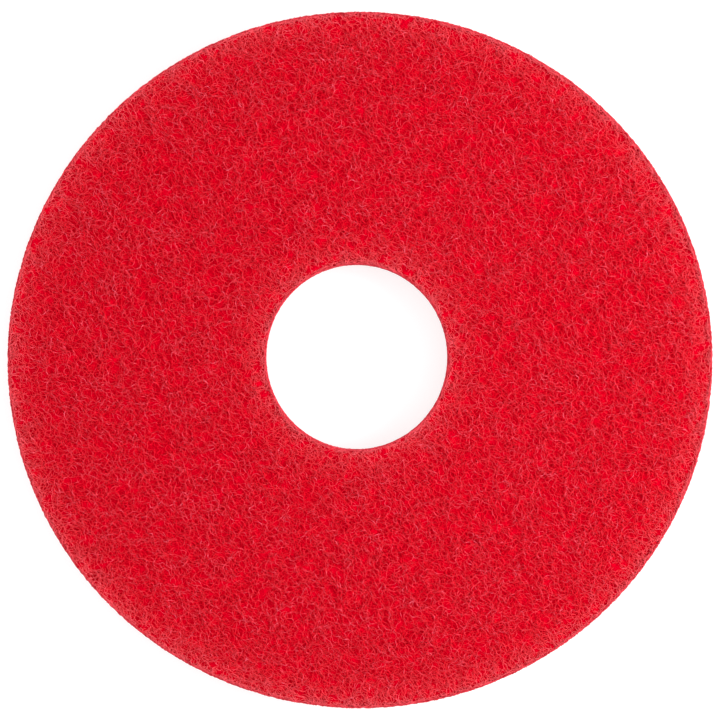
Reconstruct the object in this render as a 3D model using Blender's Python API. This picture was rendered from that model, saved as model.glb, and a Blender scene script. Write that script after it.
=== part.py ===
"""Floor pad: a round disc of bonded nonwoven fibre web with a centre hole.

A rotary floor machine drives the pad by one face and polishes the floor with the other, and both faces
are alike. The pad is die-cut from one web, so it is one solid.

Metres, +Z up. The origin is the middle of the underside, +Z is the axis of symmetry, and the two working
faces are flat at z = 0 and z = THICKNESS.
"""

from math import pi, radians

import bmesh
import bpy

OUTER_DIAMETER = 0.330  # a 13 inch pad
HOLE_DIAMETER = 0.086  # clears the centre lock of an 85 mm pad driver
THICKNESS = 0.022
EDGE_RADIUS = 0.0025  # the die presses the web's four edges over a little

CIRCLE_SEGMENTS = 144
EDGE_SEGMENTS = 3
SHARP_ANGLE = radians(40)  # under the right angle of an edge, and over the turn between wall facets

WEB_RED = (0.67, 0.008, 0.024, 1.0)
WEB_ROUGHNESS = 0.9


def clear_scene():
    """Leave an empty scene to build in."""
    for item in list(bpy.data.objects):
        bpy.data.objects.remove(item, do_unlink=True)


def web_material():
    """Resin-bonded red fibre: matte and not metallic."""
    material = bpy.data.materials.new("red_web")
    material.use_nodes = True
    shader = material.node_tree.nodes["Principled BSDF"]
    shader.inputs["Base Color"].default_value = WEB_RED
    shader.inputs["Roughness"].default_value = WEB_ROUGHNESS
    shader.inputs["Metallic"].default_value = 0.0
    return material


def ring_mesh():
    """The ring as the die cuts it, with square edges: its rectangular section turned once about +Z."""
    outer = OUTER_DIAMETER / 2
    inner = HOLE_DIAMETER / 2
    section = [(outer, THICKNESS), (outer, 0), (inner, 0), (inner, THICKNESS)]
    mesh = bmesh.new()
    corners = [mesh.verts.new((radius, 0, height)) for radius, height in section]
    sides = [mesh.edges.new(ends) for ends in zip(corners, corners[1:] + corners[:1])]
    bmesh.ops.spin(
        mesh,
        geom=corners + sides,
        axis=(0, 0, 1),
        angle=2 * pi,
        steps=CIRCLE_SEGMENTS,
        use_merge=True,
    )
    bmesh.ops.recalc_face_normals(mesh, faces=mesh.faces)
    data = bpy.data.meshes.new("floor_pad")
    mesh.to_mesh(data)
    mesh.free()
    data.shade_smooth()
    data.set_sharp_from_angle(angle=SHARP_ANGLE)
    return data


def round_edges(pad):
    """Round the four circular edges, which are the only ones that turn by more than SHARP_ANGLE."""
    bevel = pad.modifiers.new("pressed_edges", "BEVEL")
    bevel.limit_method = "ANGLE"
    bevel.angle_limit = SHARP_ANGLE
    bevel.width = EDGE_RADIUS
    bevel.segments = EDGE_SEGMENTS


def build_floor_pad():
    """The whole object: one ring of web."""
    pad = bpy.data.objects.new("floor_pad", ring_mesh())
    pad.data.materials.append(web_material())
    bpy.context.scene.collection.objects.link(pad)
    round_edges(pad)


clear_scene()
build_floor_pad()
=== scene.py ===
"""Looks of a red nonwoven floor pad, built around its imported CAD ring.

The real pad is one die-cut web of crimped fibres that resin bonds where they cross. Here it is a core, which
stands for the depth of the web, under closed fibre tubes that lie in laps on both faces and on both cut
walls. Everything is in metres in the CAD frame: the pad lies on z = 0, and its axis is +Z.
"""

from collections import namedtuple
from math import pi, radians

import bpy
import numpy as np
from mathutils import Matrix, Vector


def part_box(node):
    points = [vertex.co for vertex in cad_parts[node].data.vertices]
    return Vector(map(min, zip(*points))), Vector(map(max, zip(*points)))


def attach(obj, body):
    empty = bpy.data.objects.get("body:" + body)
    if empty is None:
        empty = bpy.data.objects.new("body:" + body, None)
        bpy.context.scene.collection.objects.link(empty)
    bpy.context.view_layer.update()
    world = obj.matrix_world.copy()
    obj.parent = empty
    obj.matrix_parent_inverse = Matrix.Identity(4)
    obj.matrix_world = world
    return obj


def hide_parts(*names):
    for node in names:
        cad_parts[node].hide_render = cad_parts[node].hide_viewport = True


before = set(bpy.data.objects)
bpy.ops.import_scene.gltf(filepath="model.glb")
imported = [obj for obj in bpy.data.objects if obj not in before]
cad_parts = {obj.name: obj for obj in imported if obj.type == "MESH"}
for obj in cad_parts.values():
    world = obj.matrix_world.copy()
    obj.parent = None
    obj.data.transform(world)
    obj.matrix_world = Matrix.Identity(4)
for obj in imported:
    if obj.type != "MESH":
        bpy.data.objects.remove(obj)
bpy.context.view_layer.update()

SEED = 41
NODE = "floor_pad"
BODY = "root"

# The pad, from the frame
PAD_LOW, PAD_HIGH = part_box(NODE)
THICKNESS = PAD_HIGH.z - PAD_LOW.z
OUTER = (PAD_HIGH.x - PAD_LOW.x) / 2
INNER = min(vertex.co.to_2d().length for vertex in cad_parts[NODE].data.vertices)

# Its two cuts, a little out of round and off centre because the soft web relaxes. inwards is the sense,
# along a radius, that leads from the cut into the web.
Cut = namedtuple("Cut", "radius oval centre inwards")
RIM = Cut(OUTER, 0.006, (0.0, 0.0), -1)
HOLE = Cut(INNER, -0.009, (-0.0015, 0.0014), 1)

# Faces: gentle lumps, and a roll-off towards the cut edges
LUMP_HEIGHT = 0.0002
LUMP_LENGTH = 0.014
LUMP_LIMIT = 1.6  # lumps and hollows are cut off at this many times LUMP_HEIGHT
ROLL_DEPTH = 0.0009
ROLL_WIDTH = 0.005
EDGE_RADIUS = 0.0016
EDGE_FADE = 0.0055  # the pale band at a cut, partly pressed fibre and partly a painted highlight on the edge, fades over this distance
CUT_BACK = 0.0004  # the faces' fibres end this far short of a cut, under the laps of its wall

# Fibre paths
STEP = 0.00095
POINTS = 14
SIDES = 3
CRIMP_LENGTH = (0.004, 0.009)
CRIMP_SWING = (0.3, 1.0)
CURL = 70.0  # spread of the steady curl, in radians a metre
GRAIN = radians(138)  # the way most fibres lie, counter-clockwise from +X
GRAIN_SPREAD = 0.65
WALL_SPREAD = 0.8  # on a cut wall the fibres lie along the laps, so along the wall
WEAVE_LENGTH = (0.004, 0.009)
WEAVE_SHARE = (0.6, 1.0)  # how much of its lap's depth a fibre dips through
END_DIP = 4  # the higher, the nearer to its ends a fibre dips to the foot of its lap

# Fibre looks
THICKNESS_SPREAD = (0.75, 1.25)  # from fibre to fibre, as a factor
BEAD_SHARE = 0.05  # share of points where the resin gathers in a bead, thicker, and paler both as resin and as a painted glint
BEAD_SWELL = 0.7
# how much paler a bead is: partly pale resin, partly a painted glint
BEAD_PAINTED_GLINT = 0.4
LEAST_SHADE = 0.12  # the dullest fibre's own shade; the brightest is 1
SHADE_CURVE = 2.2  # most fibres are dull, and the painted sheen falls off fast with depth
PAINTED_SHADE_DEPTH = 0.0018  # painted light: a fibre's colour turns from a pale painted sheen at the surface to deep red painted shade at this depth

# Laps
FIBRES_PER_LAP = 2440  # keeps each lap's mesh under 200,000 triangles
CLUMP_LENGTH = 0.006
CLUMP_STRENGTH = 0.03
KEPT_SHARE = 0.5  # share of the seeds that thinning leaves
LAP_DEPTH = 0.0015  # how far a fibre weaves within its lap
WALL_LAP_DEPTH = 0.0009  # the same on a cut wall, which the die leaves smooth
LAP_RISE = 0.0001  # each lap starts this much under the one before
UPPER_LAPS = 11
UNDER_LAPS = 5
RIM_LAPS = 4
HOLE_LAPS = 1
GLOSSY_LAPS = 5  # how many of a face's outer laps are glossy; the deeper laps get the dull copy, whose less pale colour is painted shade
WRAP_REACH = 0.0022  # the walls' laps reach this far over both faces

# Core
CORE_DEPTH = 0.0023
CORE_INSET = 0.0007
CORE_STEP = 0.0016
CORE_RELIEF = ((0.009, 0.0003), (0.0045, 0.0002))  # wavelength and height of its two sets of ripples
UNDER_RISE = 0.0008  # how much nearer its surface the core comes underneath, where fewer laps hide it
PRESSED = 0.0012  # how much nearer the surface the core comes where the die presses the web at a cut
PRESSED_WIDTH = 0.003

# Colours, deep for fibre within the web and light for fibre at its surface: by depth, painted shade and
# painted sheen
Fibre = namedtuple("Fibre", "name thickness deep light gloss")
GLOSSY = Fibre("glossy_fibre", 0.00018, (0.82, 0.0, 0.018, 1), (1.0, 0.200, 0.330, 1), 0.5)
# the same fibre as GLOSSY, for the deeper laps: its less pale light colour is painted shade
DULL = Fibre("inner_fibre_painted_shade", 0.00024, (0.82, 0.0, 0.018, 1), (1.0, 0.060, 0.120, 1), 0.1)
# round the cuts: a darker red than the faces', partly the cut wall's own duller colour and partly painted
# shade on the walls
WALL = Fibre("cut_fibre_painted_shade", 0.00029, (0.50, 0.0, 0.012, 1), (0.80, 0.080, 0.120, 1), 0.1)
PALE_EDGE_AND_HIGHLIGHT = (1.0, 0.130, 0.160, 1)  # pressed fibre at a cut, partly a painted highlight where the cut edges catch the light
# strength of the pale band, partly pressed fibre and partly a painted highlight: on the faces, on the walls,
# and on top where the walls' fibres turn over
FACE_PALENESS = 0.95
WALL_PALENESS = 0.1
TURN_PALENESS = 0.55  # added to a wall's paleness where its fibres turn over onto a face
# the core's reds, darker than the fibres': painted shade for the pockets deep in the web
CORE_DARK = (0.42, 0.0, 0.008, 1)
CORE_LIGHT = (0.50, 0.0, 0.010, 1)
CORE_STRAND = (0.62, 0.0, 0.013, 1)

# Patterns: scales are cells a metre, and each range of noise maps onto a range of values
COAT_SCALE = 1300
COAT_NOISE = (0.44, 0.62)
COAT_COVER = (0.0, 0.8)
ROUGH_SCALE = 1400
ROUGH_NOISE = (0.3, 0.7)
ROUGHNESS = (0.42, 0.62)
STRAND_SCALE = 700
STRAND_WIDTH = (0.02, 0.16)  # distance from a cell's edge, as a share of the cell
PATCH_SCALE = 260
PATCH_NOISE = (0.35, 0.65)
STRAND_BUMP = 0.6
STRAND_HEIGHT = 0.0004
CORE_ROUGHNESS = 0.8

# Stage
PAD_SHARE = 0.975  # how much of the picture's width the pad fills
LENS = 400
KEY_PLACE = (1.2, 0.05, 0.75)
KEY_SIZE = 0.8
KEY_POWER = 22
WORLD_STRENGTH = 1.2
WHITE = (1, 1, 1, 1)
FLOOR_HALF = 12
FLOOR_GAP = 0.0003
FLOOR_GREY = (0.4, 0.4, 0.4, 1)
FLOOR_ROUGHNESS = 0.9
FLOOR_GLOW = 0.7  # emission, which keeps the floor white round the pad


# ---------------------------------------------------------------- random patterns


def ripples(rng, length, waves=14):
    """A smooth random pattern over a plane with a spread of about 1, from waves in random directions."""
    direction = rng.uniform(0, 2 * pi, waves)
    number = 2 * pi / (length * rng.uniform(0.6, 1.6, waves))
    phase = rng.uniform(0, 2 * pi, waves)

    def height(x, y):
        across = np.multiply.outer(x, np.cos(direction) * number)
        along = np.multiply.outer(y, np.sin(direction) * number)
        return np.cos(across + along + phase).sum(axis=-1) / np.sqrt(waves / 2)

    return height


# ---------------------------------------------------------------- the pad's outline


def cut_line(cut, angle):
    """Radius of a cut at an angle about its own centre."""
    return cut.radius * (1 + cut.oval * np.cos(2 * angle))


def from_cut(cut, x, y):
    """Distance from a cut into the web."""
    x, y = x - cut.centre[0], y - cut.centre[1]
    return cut.inwards * (np.hypot(x, y) - cut_line(cut, np.arctan2(y, x)))


def from_edge(x, y):
    """Distance from the nearer cut into the web."""
    return np.minimum(from_cut(RIM, x, y), from_cut(HOLE, x, y))


def roll_off(edge):
    """How far a face has dropped at a distance from the cut edge."""
    edge = np.maximum(edge, 0)
    into = np.clip(EDGE_RADIUS - edge, 0, EDGE_RADIUS)
    rounding = EDGE_RADIUS - np.sqrt(EDGE_RADIUS**2 - into**2)
    return rounding + ROLL_DEPTH * np.exp(-edge / ROLL_WIDTH)


def lump_drop(lumps, x, y):
    """How far a face's gentle lumps set it back from the highest of them."""
    return LUMP_HEIGHT * (LUMP_LIMIT - np.clip(lumps(x, y), -LUMP_LIMIT, LUMP_LIMIT))


def wrapped_section(w):
    """Where a path round the pad's section has got to, from w = 0 on the upper face to its end underneath.

    Gives the distance in from the cut, the height, and the outward tilt of the surface (0 up, pi down).
    """
    bend = pi / 2 * EDGE_RADIUS
    flat = WRAP_REACH - EDGE_RADIUS
    wall = THICKNESS - 2 * EDGE_RADIUS
    upper = np.clip(w - flat, 0, bend)
    down = np.clip(w - flat - bend, 0, wall)
    under = np.clip(w - flat - bend - wall, 0, bend)
    tilt = (upper + under) / EDGE_RADIUS
    across = np.minimum(w, flat) - np.maximum(w - flat - 2 * bend - wall, 0)
    inset = np.where(across < flat, WRAP_REACH - across, EDGE_RADIUS * (1 - np.sin(tilt)))
    height = THICKNESS - EDGE_RADIUS * (1 - np.cos(upper / EDGE_RADIUS)) - down
    height = height - EDGE_RADIUS * np.sin(under / EDGE_RADIUS)
    return inset, height, tilt


# ---------------------------------------------------------------- fibre paths


def crimped_paths(rng, u, v, grain, spread):
    """Flat paths through the seeds (u, v), lying about the grain. Each turns to and fro, and curls."""
    count = len(u)
    along = np.arange(POINTS) * STEP
    crimp = along / rng.uniform(*CRIMP_LENGTH, (count, 1)) + rng.random((count, 1))
    heading = rng.normal(grain, spread, (count, 1)) + rng.normal(0, CURL, (count, 1)) * along
    heading = heading + rng.uniform(*CRIMP_SWING, (count, 1)) * np.sin(2 * pi * crimp)
    run = np.cumsum(np.cos(heading), axis=1) * STEP
    rise = np.cumsum(np.sin(heading), axis=1) * STEP
    middle = POINTS // 2
    return u[:, None] + run - run[:, [middle]], v[:, None] + rise - rise[:, [middle]]


def weaving_depths(rng, count, top, depth):
    """Depths under the surface along each fibre, which weaves within its lap and dips at both ends."""
    along = np.arange(POINTS) * STEP
    turn = along / rng.uniform(*WEAVE_LENGTH, (count, 1)) + rng.random((count, 1))
    dip = rng.uniform(*WEAVE_SHARE, (count, 1)) * (0.5 - 0.5 * np.cos(2 * pi * turn))
    ends = np.abs(np.linspace(-1, 1, POINTS)) ** END_DIP
    return top + depth * np.maximum(dip, ends)


def longest_run(inside):
    """First and last index of the longest unbroken run of True in each row, and its length."""
    best, last, run = (np.zeros(len(inside), int) for _ in range(3))
    for index in range(inside.shape[1]):
        run = (run + 1) * inside[:, index]
        longer = run > best
        best[longer] = run[longer]
        last[longer] = index
    return last - best + 1, last, best


def trimmed(inside):
    """Which fibres are kept, and the run of points that each keeps: those inside, and one past each end."""
    first, last, length = longest_run(inside)
    rows = length >= 2
    return rows, (np.maximum(first - 1, 0)[rows], np.minimum(last + 1, POINTS - 1)[rows])


def scattered_seeds(rng, width, count, clumps):
    """Seeds over a square, one in each cell of a grid, then thinned where the clump pattern is low."""
    cells = int(width / np.sqrt(width**2 * KEPT_SHARE / count))
    u, v = np.meshgrid(np.arange(cells), np.arange(cells))
    u = (u.ravel() + rng.random(u.size)) * width / cells
    v = (v.ravel() + rng.random(v.size)) * width / cells
    kept = rng.random(u.size) < KEPT_SHARE + CLUMP_STRENGTH * clumps(u, v)
    return u[kept], v[kept]


def cut_back(x, y):
    """Move the points that lie past a cut, or too near it, to just short of it: the fibre ends there."""
    for cut in (RIM, HOLE):
        past = -np.minimum(from_cut(cut, x, y) - CUT_BACK, 0)
        aside, ahead = x - cut.centre[0], y - cut.centre[1]
        move = cut.inwards * past / np.maximum(np.hypot(aside, ahead), 1e-6)
        x, y = x + aside * move, y + ahead * move
    return x, y


# ---------------------------------------------------------------- meshes and pieces


def mesh_from(name, points, faces_by_size):
    """A smooth mesh of points and of face arrays, each array holding faces of one size."""
    mesh = bpy.data.meshes.new(name)
    mesh.vertices.add(len(points))
    mesh.vertices.foreach_set("co", points.astype(np.float32).ravel())
    corners = np.concatenate([faces.ravel() for faces in faces_by_size])
    sizes = np.concatenate([np.full(len(faces), faces.shape[1]) for faces in faces_by_size])
    mesh.loops.add(len(corners))
    mesh.loops.foreach_set("vertex_index", corners.astype(np.int32))
    mesh.polygons.add(len(sizes))
    mesh.polygons.foreach_set("loop_start", (np.cumsum(sizes) - sizes).astype(np.int32))
    mesh.update(calc_edges=True)
    mesh.shade_smooth()
    return mesh


def tube_rings(path, outward, radius):
    """A ring of points round each point of each path, square to the path, its first on the outer side."""
    along = np.gradient(path, axis=1)
    along /= np.linalg.norm(along, axis=2, keepdims=True)
    side = np.cross(along, outward)
    side /= np.maximum(np.linalg.norm(side, axis=2, keepdims=True), 1e-9)
    up = np.cross(side, along)
    turn = pi / 2 + np.arange(SIDES) * 2 * pi / SIDES
    spoke = np.cos(turn)[:, None] * side[:, :, None] + np.sin(turn)[:, None] * up[:, :, None]
    return path[:, :, None] + radius[:, :, None, None] * spoke


def tube_mesh(name, rings, looks, run):
    """One closed tube for each fibre over its run of kept points. looks holds its vertex attributes."""
    first, last = run
    place = np.arange(POINTS)
    kept = (place >= first[:, None]) & (place <= last[:, None])
    number = np.cumsum(kept).reshape(kept.shape) - 1
    corner = number[..., None] * SIDES + np.arange(SIDES)
    joined = kept[:, :-1] & kept[:, 1:]
    near, far = corner[:, :-1][joined], corner[:, 1:][joined]
    walls = np.stack([near, np.roll(near, -1, 1), np.roll(far, -1, 1), far], axis=-1)
    row = np.arange(len(rings))
    caps = np.concatenate([corner[row, first][:, ::-1], corner[row, last]])
    mesh = mesh_from(name, rings[kept].reshape(-1, 3), [walls.reshape(-1, 4), caps])
    for key, values in looks.items():
        layer = mesh.attributes.new(key, "FLOAT", "POINT")
        layer.data.foreach_set("value", np.repeat(values[kept], SIDES).astype(np.float32))
    return mesh


def add_piece(name, mesh, material):
    """Link a piece that rides on the pad's body and stands for its CAD ring."""
    mesh.materials.append(material)
    piece = bpy.data.objects.new(name, mesh)
    bpy.context.scene.collection.objects.link(piece)
    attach(piece, BODY)
    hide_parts(NODE)
    return piece


# ---------------------------------------------------------------- laps of fibre


def fibre_radius(rng, beads, thick):
    """Radius along each fibre, with its coat of resin swelling here and there."""
    return thick / 2 * rng.uniform(*THICKNESS_SPREAD, (len(beads), 1)) * (1 + BEAD_SWELL * beads)


def tone_and_painted_depth_light(rng, beads, depth):
    """Each fibre's own random tone times painted light by depth: 1 for a pale painted sheen at the surface,
    0 for deep red painted shade within the web.
    """
    own = LEAST_SHADE + (1 - LEAST_SHADE) * rng.random((len(depth), 1)) ** SHADE_CURVE
    return np.clip(1 - depth / PAINTED_SHADE_DEPTH, 0, 1) ** SHADE_CURVE * (own + BEAD_PAINTED_GLINT * beads)


def add_lap(rng, name, fibre, path, outward, depth, pale, run):
    """The piece for one lap, from its fibres' paths and from the way out of the web along them."""
    beads = rng.random(depth.shape) < BEAD_SHARE
    looks = {"shade": tone_and_painted_depth_light(rng, beads, depth), "pale": pale}
    rings = tube_rings(path, outward, fibre_radius(rng, beads, fibre.thickness))
    add_piece(name, tube_mesh(name, rings, looks, run), bpy.data.materials[fibre.name])


def face_lap(rng, name, upper, lap, lumps, clumps, fibre):
    """One lap of fibres on a face, die-cut at the rim and at the hole."""
    reach = OUTER + STEP * POINTS / 2
    count = FIBRES_PER_LAP * 4 * reach**2 / (pi * (OUTER**2 - INNER**2))
    u, v = scattered_seeds(rng, 2 * reach, count, clumps)
    x, y = crimped_paths(rng, u - reach, v - reach, GRAIN, GRAIN_SPREAD)
    rows, run = trimmed(from_edge(x, y) > 0)
    x, y = cut_back(x[rows], y[rows])
    depth = weaving_depths(rng, len(x), lap * LAP_RISE + fibre.thickness / 2, LAP_DEPTH)
    edge = from_edge(x, y)
    drop = depth + roll_off(edge) + lump_drop(lumps, x, y)
    path = np.stack([x, y, THICKNESS - drop if upper else drop], axis=-1)
    outward = np.zeros_like(path)
    outward[..., 2] = 1 if upper else -1
    # pale band along the cuts, partly pressed fibre and partly a painted highlight
    pale = FACE_PALENESS * np.exp(-edge / EDGE_FADE) * np.clip(edge / EDGE_RADIUS, 0, 1)
    add_lap(rng, name, fibre, path, outward, depth, pale, run)


def wrapped_lap(rng, name, cut, lap, lumps, fibre):
    """One lap of fibres round a cut wall and over both its edges."""
    around = 2 * pi * cut.radius
    length = 2 * (WRAP_REACH - EDGE_RADIUS) + pi * EDGE_RADIUS + THICKNESS - 2 * EDGE_RADIUS
    u, v = rng.uniform(0, around, FIBRES_PER_LAP), rng.uniform(0, length, FIBRES_PER_LAP)
    u, v = crimped_paths(rng, u, v, 0, WALL_SPREAD)
    depth = weaving_depths(rng, FIBRES_PER_LAP, lap * LAP_RISE + fibre.thickness / 2, WALL_LAP_DEPTH)
    rows, run = trimmed((v > 0) & (v < length))
    u, v, depth = u[rows], v[rows], depth[rows]
    inset, height, tilt = wrapped_section(v)
    rise, out = np.cos(tilt), np.sin(tilt)
    inset = inset + depth * out
    angle = u / cut.radius
    reach = cut_line(cut, angle) + cut.inwards * inset
    x, y = cut.centre[0] + reach * np.cos(angle), cut.centre[1] + reach * np.sin(angle)
    drop = depth + ROLL_DEPTH * np.exp(-inset / ROLL_WIDTH) + lump_drop(lumps, x, y)
    path = np.stack([x, y, height - rise * drop], axis=-1)
    sideways = -cut.inwards * out
    outward = np.stack([sideways * np.cos(angle), sideways * np.sin(angle), rise], axis=-1)
    # paler where the fibres face up as they turn over the edge: painted highlight, partly pressed fibre
    pale = WALL_PALENESS + TURN_PALENESS * rise**2
    add_lap(rng, name, fibre, path, outward, depth, pale, run)


# ---------------------------------------------------------------- core


def core_section():
    """The core's section: how far across from hole to rim, from 0 to 1, and its height, from -1 to 1."""
    width = OUTER - INNER - 2 * CORE_INSET
    across = np.linspace(0, 1, int(width / CORE_STEP))
    rise = np.linspace(-1, 1, int((THICKNESS - 2 * CORE_DEPTH) / CORE_STEP))[1:-1]
    share = np.concatenate([across, np.ones_like(rise), across[::-1], np.zeros_like(rise)])
    height = np.concatenate([-np.ones_like(across), rise, np.ones_like(across), rise[::-1]])
    return share, height


def core_mesh(rng):
    """The closed ring under the fibres, with the relief of the web's deeper laps."""
    share, height = core_section()
    turns = int(2 * pi * (OUTER + INNER) / 2 / CORE_STEP)
    angle = np.linspace(0, 2 * pi, turns, endpoint=False)[:, None]
    rim = cut_line(RIM, angle) - CORE_INSET
    hole = cut_line(HOLE, angle) + CORE_INSET
    reach = hole + (rim - hole) * share
    x = reach * np.cos(angle) + HOLE.centre[0] * (1 - share)
    y = reach * np.sin(angle) + HOLE.centre[1] * (1 - share)
    edge = from_edge(x, y)
    sets = [(size, ripples(rng, length)) for length, size in CORE_RELIEF]
    relief = sum(size * pattern(x, y) for size, pattern in sets)
    rise = PRESSED * np.exp(-edge / PRESSED_WIDTH) + UNDER_RISE * np.clip(-height, 0, 1) + relief
    z = THICKNESS / 2 + height * (THICKNESS / 2 - CORE_DEPTH - roll_off(edge) + rise)
    points = np.stack([x, y, z], axis=-1).reshape(-1, 3)
    number = np.arange(len(points)).reshape(x.shape)
    nextward = np.roll(number, -1, axis=0)
    quads = np.stack([number, nextward, np.roll(nextward, -1, 1), np.roll(number, -1, 1)], axis=-1)
    return mesh_from("web_core", points, [quads.reshape(-1, 4)])


# ---------------------------------------------------------------- materials


def new_material(name):
    """A material, with its node tree and its shader."""
    material = bpy.data.materials.new(name)
    material.use_nodes = True
    tree = material.node_tree
    return material, tree, tree.nodes["Principled BSDF"]


def mix_colours(tree, factor, first, second):
    """A colour mix whose three inputs are sockets or plain values."""
    mix = tree.nodes.new("ShaderNodeMix")
    mix.data_type = "RGBA"
    for name, value in (("Factor_Float", factor), ("A_Color", first), ("B_Color", second)):
        socket = next(s for s in mix.inputs if s.identifier == name)
        if isinstance(value, bpy.types.NodeSocket):
            tree.links.new(value, socket)
        else:
            socket.default_value = value
    return next(s for s in mix.outputs if s.identifier == "Result_Color")


def map_range(tree, value, source, target):
    """A value mapped from the source range to the target range, and kept within it."""
    node = tree.nodes.new("ShaderNodeMapRange")
    tree.links.new(value, node.inputs["Value"])
    node.inputs["From Min"].default_value, node.inputs["From Max"].default_value = source
    node.inputs["To Min"].default_value, node.inputs["To Max"].default_value = target
    return node.outputs["Result"]


def object_position(tree):
    """Position on the piece, in metres."""
    return tree.nodes.new("ShaderNodeTexCoord").outputs["Object"]


def noise(tree, position, scale, detail):
    """Cloudy noise from 0 to 1."""
    node = tree.nodes.new("ShaderNodeTexNoise")
    node.inputs["Scale"].default_value = scale
    node.inputs["Detail"].default_value = detail
    tree.links.new(position, node.inputs["Vector"])
    return node.outputs["Fac"]


def vertex_value(tree, name):
    """A value stored on the mesh's vertices."""
    node = tree.nodes.new("ShaderNodeAttribute")
    node.attribute_name = name
    return node.outputs["Fac"]


def fibre_material(fibre):
    """Resin-coated fibre: a shade for each fibre, which holds its random tone and the painted sheen and
    shade of its depth, a blotchy coat, and paler fibre at the cut edges, partly pressed and partly a painted
    highlight.
    """
    _, tree, shader = new_material(fibre.name)
    position = object_position(tree)
    tone = mix_colours(tree, vertex_value(tree, "shade"), fibre.deep, fibre.light)
    coat = map_range(tree, noise(tree, position, COAT_SCALE, detail=2), COAT_NOISE, COAT_COVER)
    tone = mix_colours(tree, coat, tone, fibre.deep)
    tone = mix_colours(tree, vertex_value(tree, "pale"), tone, PALE_EDGE_AND_HIGHLIGHT)
    tree.links.new(tone, shader.inputs["Base Color"])
    rough = map_range(tree, noise(tree, position, ROUGH_SCALE, detail=2), ROUGH_NOISE, ROUGHNESS)
    tree.links.new(rough, shader.inputs["Roughness"])
    shader.inputs["Specular IOR Level"].default_value = fibre.gloss


def core_material():
    """The web's depth: deep red, darker than the fibres as painted shade in the web's pockets, with the
    pattern of deeper fibres and pockets.
    """
    material, tree, shader = new_material("web_depth_painted_shade")
    position = object_position(tree)
    cells = tree.nodes.new("ShaderNodeTexVoronoi")
    cells.feature = "DISTANCE_TO_EDGE"
    cells.inputs["Scale"].default_value = STRAND_SCALE
    tree.links.new(position, cells.inputs["Vector"])
    strand = map_range(tree, cells.outputs["Distance"], STRAND_WIDTH, (1, 0))
    patch = map_range(tree, noise(tree, position, PATCH_SCALE, detail=3), PATCH_NOISE, (0, 1))
    tone = mix_colours(tree, patch, CORE_DARK, CORE_LIGHT)
    tone = mix_colours(tree, strand, tone, CORE_STRAND)
    tree.links.new(tone, shader.inputs["Base Color"])
    bump = tree.nodes.new("ShaderNodeBump")
    bump.inputs["Strength"].default_value = STRAND_BUMP
    bump.inputs["Distance"].default_value = STRAND_HEIGHT
    tree.links.new(strand, bump.inputs["Height"])
    tree.links.new(bump.outputs["Normal"], shader.inputs["Normal"])
    shader.inputs["Roughness"].default_value = CORE_ROUGHNESS
    shader.inputs["Specular IOR Level"].default_value = 0.0
    return material


# ---------------------------------------------------------------- stage


def add_camera():
    """Straight above the pad, as far off as frames it with a narrow margin."""
    data = bpy.data.cameras.new("camera")
    data.lens = LENS
    camera = bpy.data.objects.new("camera", data)
    view_width = 2 * OUTER / PAD_SHARE
    camera.location = (0, 0, THICKNESS + view_width * data.lens / data.sensor_width)
    bpy.context.scene.collection.objects.link(camera)
    bpy.context.scene.camera = camera


def add_key():
    """A soft square lamp on the photograph's brighter side, the right, that faces the pad."""
    data = bpy.data.lights.new("key", "AREA")
    data.size = KEY_SIZE
    data.energy = KEY_POWER
    lamp = bpy.data.objects.new("key", data)
    lamp.location = KEY_PLACE
    lamp.rotation_euler = (-Vector(KEY_PLACE)).to_track_quat("-Z", "Y").to_euler()
    bpy.context.scene.collection.objects.link(lamp)


def add_floor():
    """A plain white table that glows, far wider than the pad."""
    mesh = bpy.data.meshes.new("studio_floor")
    half = FLOOR_HALF
    corners = [(-half, -half, 0), (half, -half, 0), (half, half, 0), (-half, half, 0)]
    mesh.from_pydata(corners, [], [(0, 1, 2, 3)])
    floor = bpy.data.objects.new("studio_floor", mesh)
    floor.location.z = PAD_LOW.z - FLOOR_GAP
    bpy.context.scene.collection.objects.link(floor)
    material, _, shader = new_material("studio_white")
    shader.inputs["Base Color"].default_value = FLOOR_GREY
    shader.inputs["Roughness"].default_value = FLOOR_ROUGHNESS
    shader.inputs["Specular IOR Level"].default_value = 0.0
    shader.inputs["Emission Color"].default_value = WHITE
    shader.inputs["Emission Strength"].default_value = FLOOR_GLOW
    mesh.materials.append(material)


def add_world():
    """Even white light from all round."""
    world = bpy.data.worlds.new("studio")
    world.use_nodes = True
    background = world.node_tree.nodes["Background"]
    background.inputs["Color"].default_value = WHITE
    background.inputs["Strength"].default_value = WORLD_STRENGTH
    bpy.context.scene.world = world


# ---------------------------------------------------------------- build


def build_pad():
    """The core, then the laps on both faces, and then those round both cuts."""
    rng = np.random.default_rng(SEED)
    core = add_piece("web_core", core_mesh(rng), core_material())
    lumps = ripples(rng, LUMP_LENGTH)
    clumps = ripples(rng, CLUMP_LENGTH)
    for fibre in (GLOSSY, DULL, WALL):
        fibre_material(fibre)

    for side, laps in (("upper", UPPER_LAPS), ("under", UNDER_LAPS)):
        for lap in range(laps):
            fibre = GLOSSY if lap < GLOSSY_LAPS else DULL
            face_lap(rng, f"{side}_lap_{lap + 1}", side == "upper", lap, lumps, clumps, fibre)
    for side, cut, laps in (("rim", RIM, RIM_LAPS), ("hole", HOLE, HOLE_LAPS)):
        for lap in range(laps):
            wrapped_lap(rng, f"{side}_lap_{lap + 1}", cut, lap, lumps, WALL)


build_pad()
add_floor()
add_camera()
add_world()
add_key()
bpy.context.scene.view_settings.view_transform = "Standard"
